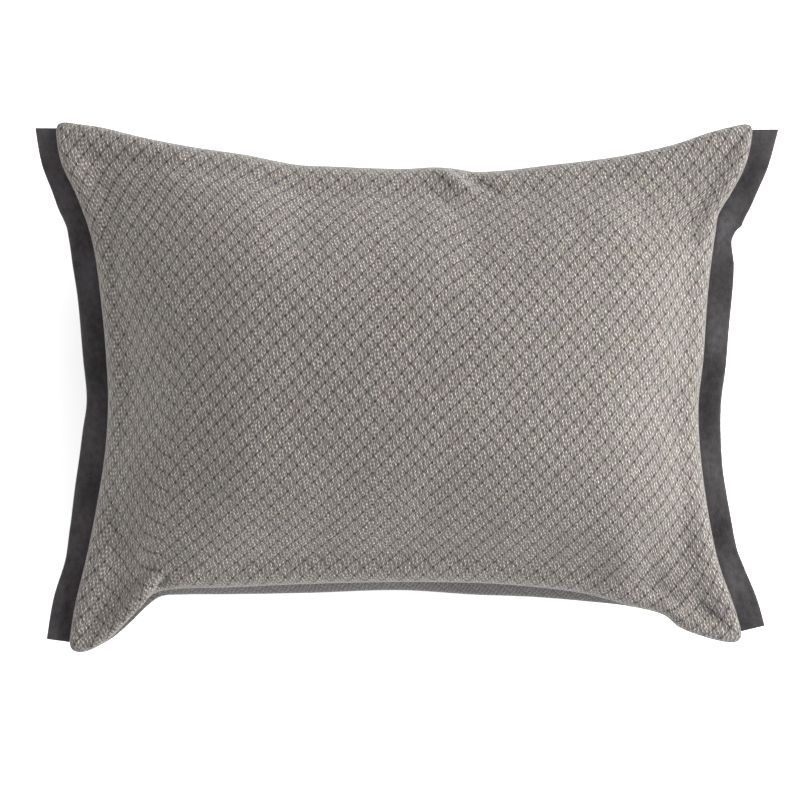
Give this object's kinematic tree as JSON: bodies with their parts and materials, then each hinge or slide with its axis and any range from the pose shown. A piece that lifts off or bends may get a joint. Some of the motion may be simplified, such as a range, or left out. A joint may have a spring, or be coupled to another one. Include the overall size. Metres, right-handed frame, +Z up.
{
  "type": "throw pillow",
  "caption": "Rectangular lumbar throw pillow: woven diamond-pattern cover, flat suede flanges on the short sides, concealed zip, stuffed insert",
  "frame": {"origin": "on the floor, under the middle of the pillow's bounding box", "axes": "X across the pillow, Y from the bottom edge (the zip's) to the top edge, Z up out of the front panel"},
  "size_m": [0.4984, 0.355, 0.146],
  "materials": {
    "woven_face": "matte, coarse marled grey weave with a diamond lattice",
    "suede": "matte charcoal suede with a soft nap",
    "thread": "matte grey polyester thread",
    "zip_tape": "matte woven tape",
    "zip_coil": "satin nylon",
    "zip_metal": "satin grey painted zinc",
    "ticking": "matte plain off-white cotton",
    "fibre_fill": "matte loose white polyester fibre"
  },
  "bodies": {
    "cover": {"front_panel": "woven_face", "back_panel": "woven_face", "left_flange": "suede", "right_flange": "suede", "top_seam_thread": "thread", "left_seam_thread": "thread", "right_seam_thread": "thread", "bottom_seam_thread_left": "thread", "bottom_seam_thread_right": "thread", "zip_tape_front": "zip_tape", "zip_tape_back": "zip_tape", "zip_coil_front": "zip_coil", "zip_coil_back": "zip_coil", "zip_top_stop_front": "zip_metal", "zip_top_stop_back": "zip_metal", "zip_bottom_stop": "zip_metal", "insert_front_ticking": "ticking", "insert_back_ticking": "ticking", "insert_seam_thread": "thread", "insert_fill": "fibre_fill"},
    "slider": {"zip_slider": "zip_metal"},
    "pull_tab": {"zip_pull_tab": "zip_metal"}
  },
  "joints": [
    {"name": "zip_slide", "type": "slide", "parent": "cover", "child": "slider", "axis": [1, 0, 0], "range_m": [0, 0.192]},
    {"name": "pull_swing", "type": "hinge", "parent": "slider", "child": "pull_tab", "pos_m": [-0.138, -0.1334, 0.068], "axis": [0, 0, -1], "range_deg": [0, 175]}
  ]
}
